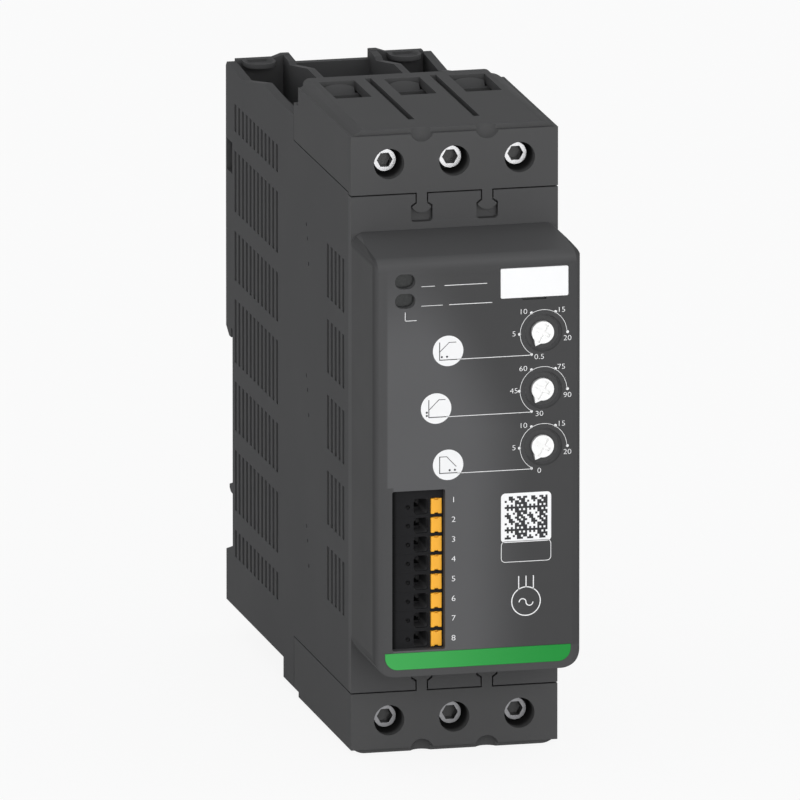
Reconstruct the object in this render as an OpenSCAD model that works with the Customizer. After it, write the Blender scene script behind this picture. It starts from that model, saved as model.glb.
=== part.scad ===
// Soft starter for a three-phase motor, 45 mm wide, made to snap on a 35 mm rail.
// Origin at the rail seat: +Y points into the rail, -Y is the front, +Z is up.

/* [Case] */
// Width of the case
body_w = 45; // [44:0.5:50]
// Depth from the terminal face to the back plane
body_d = 116.5; // [115:0.5:126]
// Height between the seams under the two terminal caps
seam_span = 108.4; // [107:0.2:120]
// Wall thickness of the mouldings
wall = 2; // [1.8:0.1:2.2]
// Gap shown at the seams
seam_gap = 0.25; // [0.2:0.05:0.3]
// Clearance between fitted fixed parts
fit = 0.15; // [0.1:0.05:0.2]
// Width of one vent slit
slit_w = 1.75; // [1.4:0.05:2]
// Distance between neighbouring vent slits
slit_pitch = 3.54; // [3.3:0.02:3.6]

/* [Front cover] */
// How far the cover stands out in front of the terminals
cover_d = 21.3; // [20.5:0.1:25]
// Thickness of the frame plate round the cover
frame_t = 2.4; // [2.2:0.1:3]
// Bare height under the cover
cover_low = 8.4; // [8:0.1:9]
// Bare height over the cover
cover_high = 8.1; // [7.8:0.1:9]
// Fall of the cover's upper face towards the front
cover_fall = 2; // [1:0.2:3]
// Radius of the cover's upper corners
cover_r_top = 3; // [2:0.2:4]
// Radius of the cover's lower corners
cover_r_low = 4.5; // [3:0.2:5]
// Radius where the upper face runs into the front
cover_r_brow = 3.8; // [2:0.2:4]
// Radius of the upright edges
cover_r_edge = 2; // [1:0.2:2.4]

/* [Terminals] */
// Width kept free beside the three poles
pole_edge = 2.4; // [2.2:0.1:2.6]
// Height of a terminal cap over its seam
cap_h = 12.5; // [12.3:0.1:14]
// Depth of a terminal cap
cap_d = 52.7; // [52:0.1:54]
// Depth of the tall part of a cap
cap_tall_d = 48.7; // [48:0.1:49.5]
// Height of the rear foot of the upper cap
foot_upper = 8.4; // [7.5:0.1:9]
// Height of the rear foot of the lower cap
foot_lower = 11.4; // [10:0.1:11.8]
// Rise of the top plate over the cap's cheeks
plate_rise = 1; // [0.6:0.1:1.4]
// Height of the clamp screws over the seam
screw_z = 6.3; // [6.1:0.1:6.5]
// Thread diameter of the clamp screws
screw_d = 4; // [3.5:0.1:4.2]
// Diameter of the screw holes in the cap
screw_hole_d = 6.6; // [6.2:0.1:6.8]
// Depth of the screw heads below the face
head_recess = 4.1; // [3.6:0.1:4.4]
// Travel of a clamp cage from open to closed
clamp_travel = 5; // [4:0.5:5]
// Width of a conductor bar
bar_w = 7; // [6:0.2:7.2]
// Thickness of a conductor bar
bar_t = 2; // [1.5:0.1:2.2]
// Width of a wire entry
entry_w = 7.8; // [7.2:0.1:8]

/* [Controls] */
// Distance between neighbouring dials
dial_pitch = 12.35; // [12:0.05:13]
// Diameter of a dial knob
dial_d = 4.8; // [4.5:0.1:5.2]
// Diameter of the recess round a dial
dial_recess_d = 8.2; // [8:0.1:8.6]
// Distance of the dials from the cover's right side
dial_in = 8.3; // [7.8:0.1:8.8]
// Distance between neighbouring control terminals
row_pitch = 4.11; // [4:0.01:4.15]
// Width of a release button
button_w = 2.4; // [2:0.1:2.4]
// Height of a release button
button_h = 3.3; // [3:0.1:3.4]
// Travel of a release button
button_travel = 1.5; // [1:0.1:1.6]
// Running clearance round a moving part
run = 0.1; // [0.08:0.01:0.12]
// Width of a signal lens window
lens_w = 4.4; // [3.8:0.1:4.6]
// Height of a signal lens window
lens_h = 3.2; // [3:0.1:3.3]

/* [Rail mount] */
// Height of the mounting rail
rail_h = 35; // [34.8:0.1:35.2]
// Height of the rail's middle over the lower seam
rail_z = 35.9; // [35.5:0.1:36.5]
// Depth of the rail slot behind the seat
seat_d = 6; // [5.6:0.1:6.4]
// Thickness of the rail's edges
rail_t = 1; // [0.9:0.05:1.1]
// Travel of the rail clip
clip_travel = 4; // [3:0.5:4]

/* [Hidden] */
$fn = 48;
e = 0.05;
half_w = body_w / 2;
in_x = half_w - wall;
mid_z = seam_span / 2;
seat_y = body_d - seat_d;
pole_pitch = (body_w - pole_edge) / 3;
pole_x = [-pole_pitch, 0, pole_pitch];
face_y = -cover_d;
skin_y = face_y + wall;
cover_z0 = cover_low;
cover_z1 = seam_span - cover_high;

// Cap and clamp stack
plate_in = 2;
plate_z = cap_h + plate_rise;
roof_z = plate_z - wall;
bay_w = pole_pitch - 1.8;
head_d = screw_hole_d - 1.8;
head_l = 3.2;
head_y1 = head_recess + head_l;
boss_end = head_y1 + run + wall;
boss_d = screw_hole_d + 3;
bar_y0 = 30;
bar_y1 = bar_y0 + bar_t;
cage_side = 1.2;
cage_in = bar_w + 0.5;
cage_w = cage_in + 2 * cage_side;
cage_h = 9;
cage_wall = 3;
cage_y0 = bar_y0 - clamp_travel - cage_wall;
cage_back = 2;
gap_y1 = bar_y1 + 7.5;
entry_y0 = bar_y1 + 0.4;
entry_y1 = cap_tall_d - 0.4;
tab_t = 1.5;
tab_neck = 2.2;
tab_head = 4.1;
tab_low = 4.1;
tab_gap = 0.28;
seam_drop = 0.45;

// Housing
trans_y0 = cap_d + seam_gap;
trans_y1 = trans_y0 + wall;
ceil_z = seam_span - 6.4;
floor_z = 4.1;
wing_top = seam_span + 6.2;
wing_back = seam_span + 3.4;
skirt_y1 = trans_y0 + 9.85;
skirt_z = -7;
groove_z = rail_z + rail_h / 2 + 0.6;
lip_z = rail_z + rail_h / 2 - 1.5;
lip_y0 = seat_y + rail_t + 0.3;
pad_z = floor_z + wall;
recess_y0 = seat_y - wall;
bay_rib_x = in_x - 11;
bay_rib_t = 1.6;
ear_x = bay_rib_x - 0.5;
shelf_x = in_x - 4.5;
shelf_y = body_d - 3.9;
shelf_r = 3.5;
shelf_z = seam_span + 3.8;

grille_x = (in_x - 4.7) / 2;
grille_w = 4.8;

// Inside
sink_y0 = 62;
sink_t = 4;
sink_z0 = 10;
sink_z1 = seam_span - 10.4;
sink_fin_y1 = recess_y0 - 7.5;
mod_h = 36.5;
mod_w = pole_pitch - 2.2;
mod_z0 = mid_z - mod_h / 2;
mod_z1 = mid_z + mod_h / 2;
board_t = 1.6;
power_y1 = 50;
power_y0 = power_y1 - board_t;
relay_z = 14;
relay_d = 22;
relay_y0 = power_y0 - relay_d;
sensor_h = 8;
link_w = 16;
plug_w = link_w + 2;
plug_d = 5;
plug_h = 2 * board_t;
ctrl_y0 = skin_y + 11.3;
ctrl_y1 = ctrl_y0 + board_t;
ctrl_z0 = cover_z0 + wall + 2;
ctrl_z1 = cover_z1 - wall - cover_fall - 2;
ctrl_w = 2 * (in_x - 1.5);
link_z = mid_z + 16.1;

// Controls
dial_x = half_w - dial_in;
dial_z = [for (i = [0:2]) seam_span - 27 - i * dial_pitch];
dial_cup = 1.8;
dial_floor = face_y + dial_cup;
dial_boss_y = dial_floor + 1.8;
knob_y0 = face_y + 0.4;
knob_y1 = dial_floor - 0.3;
stem_d = 3;
pot_h = 5;
pot_w = 7;
led_d = 3;
led_h = 3;
lens_x = 6.7 - half_w;
lens_y = face_y + 1.5;
lens_seat = lens_y + 0.6;
lens_z = [seam_span - 14.3, seam_span - 18.5];
label_x0 = half_w - 17.65;
label_w = 14.75;
label_z0 = seam_span - 19.1;
label_h = 6.5;
strip_w = body_w - 4.6;
strip_z0 = cover_z0 + 1.5;
strip_h = 3.7;
open_x0 = 3.9 - half_w;
open_w = 11.5;
open_z0 = strip_z0 + strip_h + 0.4;
open_h = 34.7;
block_x0 = open_x0 - 1;
block_x1 = open_x0 + open_w + 0.9;
block_z0 = open_z0 - 1 + 0.15;
block_z1 = open_z0 + open_h + 1;
row_z = [for (i = [0:7]) open_z0 + 1.95 + i * row_pitch];
button_x = open_x0 + open_w - 0.3 - button_w / 2;
wire_x = button_x - 3.3;
wire_w = 3.2;
wire_h = 3.4;
probe_x = wire_x - 2.85;
button_y0 = skin_y - 0.3;
button_y1 = skin_y + 5.3;
hole_x = in_x - 3.3;
board_holes = [[hole_x, seam_span - 17.4], [-hole_x, seam_span - 27.4], [hole_x, 18], [-3, 18]];
board_screw_d = 2.2;
board_head_d = 2 * board_screw_d;
board_head_h = 1.6;
board_boss_d = 5;

// Rail clip
clip_t = 2.7;
clip_y1 = recess_y0 - 0.3;
clip_y0 = clip_y1 - clip_t;
clip_edge = rail_z - rail_h / 2 - 0.3;
web_h = 2.9;
clip_z0 = pad_z + clip_travel + 1.9;
clip_z1 = clip_edge + 6;
spring_x = in_x - 8.5;
web_w = 2 * (in_x - 3);
tail_w = 8;
spring_z0 = pad_z;

// Everything is drawn from the terminal face and the lower seam, then set on the rail seat
module in_case() {
  translate([0, -seat_y, -rail_z]) children();
}

// A terminal end with its seam at height zero and its cap above
module at_end(upper) {
  if (upper) translate([0, 0, seam_span]) children();
  else mirror([0, 0, 1]) children();
}

// Extrusions along the three axes, drawn in X-Z, Y-Z and X-Y
module along_y(y0, y1) {
  translate([0, y1, 0]) rotate([90, 0, 0]) linear_extrude(y1 - y0) children();
}

module along_x(x0, x1) {
  translate([x0, 0, 0]) rotate([90, 0, 90]) linear_extrude(x1 - x0) children();
}

module along_z(z0, z1) {
  translate([0, 0, z0]) linear_extrude(z1 - z0) children();
}

// Flat rectangle from corner to corner
module rect(x0, y0, x1, y1) {
  translate([x0, y0]) square([x1 - x0, y1 - y0]);
}

// Block from corner to corner
module block(a, b) {
  translate(a) cube(b - a);
}

// Flat rectangle with one radius at the lower and one at the upper corners
module round_rect(x0, y0, x1, y1, r_low, r_high) {
  rect(x0, y0 + r_low, x1, y1 - r_high);
  rect(x0 + r_low, y0, x1 - r_low, y0 + r_low + e);
  rect(x0 + r_high, y1 - r_high - e, x1 - r_high, y1);
  for (s = [0, 1]) {
    translate([s == 0 ? x0 + r_low : x1 - r_low, y0 + r_low]) circle(r_low);
    translate([s == 0 ? x0 + r_high : x1 - r_high, y1 - r_high]) circle(r_high);
  }
}

// Front cover

// Side profile of the cover, drawn smaller by the inset
module cover_profile(inset, y_back) {
  s = cover_fall / cover_d;
  q = sqrt(1 + s * s);
  r = cover_r_brow - inset;
  d = cover_d - inset;
  yc = r - d;
  top = cover_z1 - inset;
  zc = top + s * yc - r * q;
  polygon([[y_back, cover_z0 + inset], [y_back, top], [0, top], [yc - r * s / q, zc + r / q],
    [yc, zc], [-d, zc], [-d, cover_z0 + inset]]);
  translate([yc, zc]) circle(r);
}

// Body of the cover, drawn smaller by the inset
module cover_body(inset, y_back) {
  x = half_w - inset;
  r = max(cover_r_edge - inset, 0.4);
  intersection() {
    along_x(-x, x) cover_profile(inset, y_back);
    along_y(-cover_d, y_back + e)
      round_rect(-x, cover_z0 + inset, x, cover_z1 - inset, cover_r_low - inset, cover_r_top - inset / 2);
    along_z(0, seam_span) {
      rect(-x, inset - cover_d + r, x, y_back + e);
      rect(r - x, inset - cover_d, x - r, inset - cover_d + r + e);
      for (s = [-1, 1]) translate([s * (x - r), inset - cover_d + r]) circle(r);
    }
  }
}

// Key-shaped tab outline below the seam, with a round lower end
module tab_outline() {
  n = tab_neck / 2;
  h = tab_head / 2;
  rect(-n, -2.4, n, seam_gap + 1);
  polygon([[-n, -2.1], [n, -2.1], [h, -2.8], [h, -3.1], [-h, -3.1], [-h, -2.8]]);
  intersection() {
    rect(-h, -tab_low, h, -3);
    translate([0, 2.5 - tab_low]) circle(2.5);
  }
}

// Pocket round a tab, with room to pry below it
module tab_pocket() {
  n = tab_neck / 2 + tab_gap;
  h = tab_head / 2 + tab_gap;
  rect(-n, -2.4, n, 1);
  polygon([[-n, tab_gap - 2.1], [n, tab_gap - 2.1], [h, tab_gap - 2.8], [h, -3.2], [-h, -3.2],
    [-h, tab_gap - 2.8]]);
  round_rect(-h, -6.1, h, -3, 0.7, 0.01);
}

// Outline of a lens window, drawn larger by the growth
module lens_outline(grow) {
  x = lens_w / 2 + grow;
  z = lens_h / 2 + grow;
  round_rect(-x, -z, x, z, z - e, z - e);
}

module front_cover() {
  color("#56575a") in_case() difference() {
    union() {
      difference() {
        union() {
          cover_body(0, frame_t);
          block([-half_w, 0, e], [half_w, frame_t, seam_span - seam_drop - e]);
        }
        cover_body(wall, frame_t + 1);
      }
      // Collars round the dials and lenses, bosses under the board, locating lip in the housing
      for (z = lens_z) translate([lens_x, 0, z]) along_y(skin_y - e, lens_seat + 0.8) lens_outline(0.8);
      for (z = dial_z) translate([dial_x, 0, z]) along_y(skin_y - e, dial_boss_y)
        circle(d = dial_recess_d + 2.4);
      for (h = board_holes) translate([h[0], 0, h[1]]) along_y(skin_y - e, ctrl_y0)
        circle(d = board_boss_d);
      for (a = [0, 1]) mirror([a, 0, 0]) for (z = [0.24, 0.5, 0.76]) translate([0, 0, seam_span * z]) {
        block([in_x - fit - 1.5, e, -6], [in_x - fit, frame_t + 4, 6]);
        block([in_x - fit - 1.5, e, -6], [in_x + wall / 2, frame_t - e, 6]);
      }
    }
    // Pockets for the cap tabs
    for (upper = [false, true]) at_end(upper) for (s = [-1, 1])
      translate([s * pole_pitch / 2, 0, upper ? -seam_drop : 0]) along_y(-1, tab_t + 0.15) tab_pocket();
    // Dial recesses and stem holes
    for (z = dial_z) translate([dial_x, 0, z]) {
      translate([0, face_y - e, 0]) rotate([-90, 0, 0])
        cylinder(h = dial_cup + e, d1 = dial_recess_d, d2 = dial_recess_d - 1);
      along_y(dial_floor - 1, dial_boss_y + 1) circle(d = stem_d + 0.5);
    }
    // Lens windows with a step for the lens and a hole for its stem
    for (z = lens_z) translate([lens_x, 0, z]) {
      along_y(face_y - 1, lens_seat) lens_outline(0);
      along_y(lens_seat - 1, lens_seat + 2) circle(d = led_d - 0.2);
    }
    for (h = board_holes) translate([h[0], 0, h[1]]) along_y(ctrl_y0 - 6, ctrl_y0 + 1)
      circle(d = board_screw_d + run);
    // Opening over the control terminals, label seat with its pry slot, accent seat
    along_y(face_y - 1, skin_y + 1)
      round_rect(open_x0, open_z0, open_x0 + open_w, open_z0 + open_h, 0.4, 0.4);
    along_y(face_y - 1, face_y + 0.8) rect(label_x0, label_z0, label_x0 + label_w, label_z0 + label_h);
    along_y(face_y - 1, face_y + 0.8)
      rect(label_x0 + 4.85, label_z0 - 0.5, label_x0 + 9.95, label_z0 + 0.1);
    along_y(face_y - 1, face_y + 1) strip_outline(0);
  }
}

// Accent strip with two rounded lower corners, drawn smaller by the inset
module strip_outline(inset) {
  x = strip_w / 2 - inset;
  intersection() {
    round_rect(-x, strip_z0 + inset, x, strip_z0 + 3 * strip_h, 2.8 - inset, 0.4);
    rect(-x - 1, strip_z0, x + 1, strip_z0 + strip_h - inset);
  }
}

module accent_strip() {
  color("#2f9e4f") in_case() along_y(face_y - 0.1, face_y + 1) strip_outline(0.05);
}

module label_plate() {
  color("#f4f4f2") in_case() along_y(face_y - 0.1, face_y + 0.8)
    round_rect(label_x0 + 0.05, label_z0 + 0.05, label_x0 + label_w - 0.05, label_z0 + label_h - 0.05,
      0.3, 0.3);
}

// Housing

// Rows of side slits: lower end and height over the lower seam
slit_rows = [for (r = [[49.9, 6], [39.65, 13.4], [21.95, 10.8]]) for (s = [-1, 1])
  s < 0 ? [mid_z - r[0], r[1]] : [mid_z + r[0] - r[1], r[1]]];
front_rows = [for (i = [-2:2]) mid_z + 16.5 * i - 5.85];
dot_rows = [for (i = [-1:1])
  for (d = [[41.2, 5.6], [40.1, 2.7], [39.1, -2.6]]) [d[0], mid_z + 33 * i + d[1]]];
slit_y = recess_y0 - 1 - 11 * slit_pitch;

module side_outline() {
  r = 1;
  difference() {
    polygon([[frame_t, 0], [trans_y0, 0], [trans_y0, -foot_lower], [skirt_y1, -foot_lower],
      [skirt_y1, skirt_z],
      [body_d, skirt_z], [body_d, pad_z - 1.9], [seat_y, pad_z], [seat_y, groove_z], [lip_y0, groove_z],
      [lip_y0, lip_z], [lip_y0 + 1.8, lip_z], [body_d, lip_z + 1.7], [body_d, wing_back - r],
      [body_d - r, wing_back], [100.4, wing_back - 0.9], [81.2, wing_top], [74.5, wing_top - 0.3],
      [67, wing_top - 0.6], [trans_y0, wing_top - 0.6], [trans_y0, seam_span], [frame_t, seam_span]]);
    for (row = slit_rows) for (i = [0:11])
      rect(slit_y + i * slit_pitch - slit_w / 2, row[0], slit_y + i * slit_pitch + slit_w / 2,
        row[0] + row[1]);
    for (i = [0:11]) rect(slit_y + i * slit_pitch - slit_w / 2, mid_z - 7,
      slit_y + i * slit_pitch + slit_w / 2, mid_z + 7);
    for (z = front_rows) for (i = [0:4])
      rect(7.1 + i * slit_pitch - slit_w / 2, z, 7.1 + i * slit_pitch + slit_w / 2, z + 11.7);
    for (d = dot_rows) translate(d) circle(d = 0.9);
    rect(recess_y0 + 2, seam_span - 20.2, body_d - 0.8, seam_span - 13.4);
  }
}

// Section through decks, cross walls, back and rail slot
module spine_outline() {
  rect(frame_t, seam_span - wall, trans_y1, seam_span);
  rect(frame_t, 0, trans_y1, wall);
  rect(trans_y0, ceil_z, trans_y1, seam_span + 6);
  rect(trans_y0, -foot_lower + 2.4, trans_y1, pad_z);
  rect(body_d - wall, groove_z, body_d, seam_span + 2.5);
  rect(recess_y0, floor_z, seat_y, groove_z + wall);
  rect(recess_y0, groove_z, body_d, groove_z + wall);
  polygon([[lip_y0, groove_z + e], [lip_y0, lip_z], [lip_y0 + 1.8, lip_z], [body_d, lip_z + 1.7],
    [body_d, groove_z + e]]);
  polygon([[recess_y0, floor_z], [recess_y0, pad_z], [seat_y, pad_z], [body_d, pad_z - 1.9],
    [body_d, skirt_z],
    [body_d - wall, skirt_z], [body_d - wall, floor_z - 1.9], [seat_y, floor_z]]);
}

// Grille plate over or under the heat sink, drawn in X-Y
module grille_outline() {
  difference() {
    rect(-in_x - e, trans_y0, in_x + e, recess_y0 + e);
    for (x = [-2:2]) for (k = [0:3])
      rect(x * grille_x - grille_w / 2, trans_y1 + 5 + k * 10.5, x * grille_x + grille_w / 2,
        trans_y1 + 12 + k * 10.5);
  }
}

module housing() {
  color("#4a4b4d") in_case() difference() {
    union() {
      along_x(-in_x - e, in_x + e) spine_outline();
      for (s = [-1, 1]) along_x(s < 0 ? -half_w : in_x, s < 0 ? -in_x : half_w) side_outline();
      along_z(ceil_z, ceil_z + wall) {
        grille_outline();
        rect(-in_x - e, recess_y0, in_x + e, body_d);
      }
      along_z(floor_z, floor_z + wall) grille_outline();
      // Ribs between the three rear bays, above and below
      for (s = [-1, 1]) along_x(s * bay_rib_x - bay_rib_t / 2, s * bay_rib_x + bay_rib_t / 2) {
        polygon([[trans_y0 + e, ceil_z + e], [body_d - e, ceil_z + e], [body_d - e, seam_span + 4.5],
          [110, seam_span + 4.1], [108.5, seam_span + 3.5], [92, seam_span + 6.4],
            [trans_y0 + e, seam_span + 6]]);
        polygon([[trans_y0 + e, floor_z + e], [body_d - wall - e, floor_z + e],
          [body_d - wall + e, skirt_z + 2],
          [trans_y0 + e, skirt_z + 1]]);
      }
      // Raised back wall beside each rib, with a round dished shelf
      for (s = [-1, 1]) {
        along_y(body_d - wall, body_d)
          polygon([[s * (in_x + e), seam_span + 1], [s * (in_x + e), shelf_z],
            [s * (bay_rib_x + 3), shelf_z],
            [s * (bay_rib_x + 1), seam_span + 4.5], [s * ear_x, seam_span + 4.5],
              [s * ear_x, seam_span + 1]]);
        translate([s * shelf_x, shelf_y, 0]) difference() {
          along_z(shelf_z - 1, shelf_z) {
            circle(shelf_r);
            rect(-shelf_r, 0, shelf_r, body_d - wall + e - shelf_y);
          }
          translate([0, 0, shelf_z - 0.5]) cylinder(h = 1, r1 = shelf_r - 1, r2 = shelf_r);
        }
      }
      // Guide ribs that hold the heat sink plate and the rail clip
      for (s = [-1, 1]) along_x(s < 0 ? -in_x - e : in_x - 1.5, s < 0 ? 1.5 - in_x : in_x + e) {
        rect(sink_y0 - fit - 1.4, sink_z0 - 2, sink_y0 - fit, mod_z0 - 2);
        rect(sink_y0 - fit - 1.4, mod_z1 + 2, sink_y0 - fit, sink_z1);
        rect(sink_y0 + sink_t + fit, sink_z0 - 2, sink_y0 + sink_t + fit + 1.2, sink_z1);
        rect(sink_y0 - fit - 1.4, sink_z0 - 2, sink_y0 + sink_t + fit + 1.2, sink_z0);
        rect(clip_y0 - 0.3 - 1.4, pad_z - e, clip_y0 - 0.3, clip_z1 + 4);
      }
    }
    // Slots for the conductor bars
    for (upper = [false, true]) at_end(upper) for (x = pole_x)
      block([x - bar_w / 2 - 0.3, bar_y0 - 0.3, -wall - 1], [x + bar_w / 2 + 0.3, bar_y1 + 0.3, 1]);
    // Window for the clip web and slot for its tail
    block([-web_w / 2 - 0.3, recess_y0 - 1, clip_edge - web_h - clip_travel - 0.3],
      [web_w / 2 + 0.3, seat_y + 1, clip_edge + 0.3]);
    block([-tail_w / 2 - 0.4, clip_y0 - 0.3, floor_z - 4], [tail_w / 2 + 0.4, clip_y1 + 0.3, pad_z + 1]);
  }
}

// Terminal caps

module tongue_plate(x) {
  translate([x, cap_tall_d - 3.3, plate_z - 2.3]) rotate([41, 0, 0]) translate([0, 0, -1.2])
    linear_extrude(1.2) {
    rect(-3.4, -1, 3.4, 1.9);
    translate([0, -4.17]) intersection() {
      circle(7);
      rect(-3.4, 6, 3.4, 8);
    }
  }
}

module terminal_cap(upper, foot) {
  lip = upper ? seam_gap - seam_drop : seam_gap;
  in_case() at_end(upper) {
    difference() {
      union() {
        along_x(-half_w, half_w)
          polygon([[0, lip], [frame_t - 0.2, lip], [frame_t - 0.2, seam_gap], [cap_d, seam_gap],
          [cap_d, foot], [cap_tall_d, foot], [cap_tall_d, cap_h], [0, cap_h]]);
        along_y(1.2, cap_tall_d) intersection() {
          round_rect(-half_w - 0.72, 1, half_w + 0.72, plate_z, 0.2, 4);
          rect(-half_w, 1, half_w, plate_z + 1);
        }
        along_y(cap_tall_d - e, cap_d)
          round_rect(plate_in - half_w, 1, half_w - plate_in, plate_z, 0.2, 1.4);
        for (s = [-1, 1]) translate([s * pole_pitch / 2, 0, lip - seam_gap]) along_y(0, tab_t)
          tab_outline();
      }
      for (x = pole_x) {
        block([x - bay_w / 2, wall, -1], [x + bay_w / 2, cap_d - wall, roof_z]);
        translate([x, 0, screw_z]) along_y(-1, wall + 1) circle(d = screw_hole_d);
        block([x - entry_w / 2, entry_y0, roof_z - 1], [x + entry_w / 2, entry_y1, plate_z + 1]);
      }
      for (s = [-1, 1]) {
        block([s * pole_pitch / 2 - 0.7, 9.6, plate_z - 1.2],
          [s * pole_pitch / 2 + 0.7, 49.6, plate_z + 1]);
        translate([s * pole_pitch / 2, -0.3, cap_h + 0.9]) {
          sphere(r = 2.65);
          cylinder(r = 2.65, h = 3);
        }
      }
    }
    // Feet of the partitions on the deck
    for (s = [-1, 1]) block([s * pole_pitch / 2 - 0.9, wall + 2, 0],
      [s * pole_pitch / 2 + 0.9, cap_d - wall, seam_gap + 1]);
    // Screw guides with a shoulder under the head
    for (x = pole_x) translate([x, 0, screw_z]) difference() {
      along_y(wall - e, boss_end) circle(d = boss_d);
      along_y(0, head_y1 + run) circle(d = screw_hole_d);
      along_y(0, boss_end + 1) circle(d = screw_d + 0.4);
    }
    // Wire guide tongue on a cross bar behind each entry
    for (x = pole_x) {
      tongue_plate(x);
      block([x - bay_w / 2 - e, cap_tall_d - 4.2, roof_z - 1.4],
        [x + bay_w / 2 + e, cap_tall_d - 2.2, roof_z - 0.2]);
    }
  }
}

module upper_terminal_cap() {
  color("#4d4e50") terminal_cap(true, foot_upper);
}

module lower_terminal_cap() {
  color("#4d4e50") terminal_cap(false, foot_lower);
}

// Clamp parts

module terminal_screw(upper, x) {
  in_case() at_end(upper) translate([x, 0, screw_z]) difference() {
    union() {
      along_y(head_recess, head_y1) circle(d = head_d);
      along_y(head_y1 - e, bar_y0 - 0.1) circle(d = screw_d);
    }
    along_y(head_recess - 1, head_y1 - 0.8) circle(d = 3.46, $fn = 6);
  }
}

module terminal_cage(upper, x) {
  in_case() at_end(upper) translate([x, 0, screw_z]) difference() {
    block([-cage_w / 2, cage_y0, -cage_h / 2], [cage_w / 2, gap_y1 + cage_back, cage_h / 2]);
    block([-cage_in / 2, cage_y0 + cage_wall, -cage_h], [cage_in / 2, gap_y1, cage_h]);
    along_y(cage_y0 - 1, cage_y0 + cage_wall + 1) circle(d = screw_d + 0.1);
  }
}

module conductor_bar(upper, x) {
  color("#c98d55") in_case() at_end(upper) {
    block([x - bar_w / 2, bar_y0, mod_z1 - seam_span], [x + bar_w / 2, bar_y1, screw_z + 3.8]);
    block([x - bar_w / 2, bar_y0, mod_z1 - seam_span],
      [x + bar_w / 2, power_y1 + 8, mod_z1 - seam_span + bar_t]);
  }
}

// Control terminals

// Row of eight pole housings, the end ones with a longer end wall
module control_block() {
  color("#232426") in_case() for (i = [0:7]) difference() {
    block([block_x0, skin_y, i == 0 ? block_z0 : row_z[i] - row_pitch / 2],
      [block_x1, ctrl_y0, i == 7 ? block_z1 : row_z[i] + row_pitch / 2 - 0.02]);
    translate([0, 0, row_z[i]]) {
      along_y(skin_y - 1, button_y1 + button_travel + 0.3) translate([button_x, 0])
        rect(-button_w / 2 - run, -button_h / 2 - run, button_w / 2 + run, button_h / 2 + run);
      along_y(skin_y - 1, skin_y + 8.8)
        round_rect(wire_x - wire_w / 2, -wire_h / 2, wire_x + wire_w / 2, wire_h / 2, 0.7, 0.7);
      translate([probe_x, 0, 0]) along_y(skin_y - 1, skin_y + 4) circle(d = 1);
    }
  }
}

module contact_plates() {
  color("#c9cdd0") in_case() for (z = row_z)
    block([wire_x - 0.8, skin_y + 5, z - wire_h / 2], [wire_x + 0.8, skin_y + 8.8, z - wire_h / 2 + 0.5]);
}

module release_button(i) {
  color("#f39a26") in_case() translate([button_x, 0, row_z[i - 1]]) difference() {
    along_y(button_y0, button_y1) rect(-button_w / 2, -button_h / 2, button_w / 2, button_h / 2);
    for (s = [-1, 1]) block([-0.35, button_y0 - 1, s * button_h / 2 - 0.25],
      [0.35, button_y0 + 0.6, s * button_h / 2 + 0.25]);
  }
}

// Dials and signal lamps

module dial(i) {
  color("#f2f2f0") in_case() translate([dial_x, 0, dial_z[i - 1]]) rotate([0, -150, 0]) difference() {
    union() {
      along_y(knob_y0, knob_y1) {
        circle(d = dial_d);
        polygon([[0, 3.3], [-0.45, 2.75], [-1, 2], [1, 2], [0.45, 2.75]]);
      }
      along_y(knob_y1 - e, ctrl_y0 - 1.5) circle(d = stem_d);
    }
    along_y(knob_y0 - 1, knob_y0 + 0.7) {
      rect(-0.4, -1.9, 0.4, 2.3);
      rect(-1.7, -0.4, 1.7, 0.4);
    }
  }
}

module potentiometer(i) {
  color("#3b5f8f") in_case() translate([dial_x, 0, dial_z[i - 1]]) difference() {
    along_y(ctrl_y0 - pot_h, ctrl_y0) square(pot_w, center = true);
    along_y(ctrl_y0 - pot_h - 1, ctrl_y0 - 1.2) circle(d = stem_d + 0.1);
  }
}

module lens(i) {
  color("#3d4443") in_case() translate([lens_x, 0, lens_z[i]]) {
    along_y(lens_y, lens_seat) lens_outline(-0.1);
    along_y(lens_seat - e, ctrl_y0 - led_h - 0.2) circle(d = led_d - 0.4);
  }
}

module status_leds() {
  color("#cfd6c8") in_case() for (z = lens_z) translate([lens_x, 0, z]) along_y(ctrl_y0 - led_h, ctrl_y0)
    circle(d = led_d);
}

// Boards

module control_board() {
  color("#2b6a44") in_case() difference() {
    block([-ctrl_w / 2, ctrl_y0, ctrl_z0], [ctrl_w / 2, ctrl_y1, ctrl_z1]);
    for (h = board_holes) translate([h[0], 0, h[1]]) along_y(ctrl_y0 - 1, ctrl_y1 + 1)
      circle(d = board_screw_d + 0.4);
  }
}

module board_screws() {
  color("#b9bcc0") in_case() for (h = board_holes) translate([h[0], 0, h[1]]) difference() {
    union() {
      along_y(ctrl_y1, ctrl_y1 + board_head_h) circle(d = board_head_d);
      along_y(ctrl_y0 - 5, ctrl_y1 + e) circle(d = board_screw_d);
    }
    along_y(ctrl_y1 + board_head_h / 2, ctrl_y1 + board_head_h + 1) {
      rect(-board_head_d / 3, -0.3, board_head_d / 3, 0.3);
      rect(-0.3, -board_head_d / 3, 0.3, board_head_d / 3);
    }
  }
}

module link_board() {
  color("#2b6a44") in_case() {
    block([-link_w / 2, ctrl_y1 + plug_d / 2, link_z - board_t / 2],
      [link_w / 2, power_y0 - plug_d / 2, link_z + board_t / 2]);
    block([-plug_w / 2, ctrl_y1, link_z - plug_h / 2],
      [plug_w / 2, ctrl_y1 + plug_d, link_z + plug_h / 2]);
    block([-plug_w / 2, power_y0 - plug_d, link_z - plug_h / 2],
      [plug_w / 2, power_y0, link_z + plug_h / 2]);
  }
}

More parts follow.
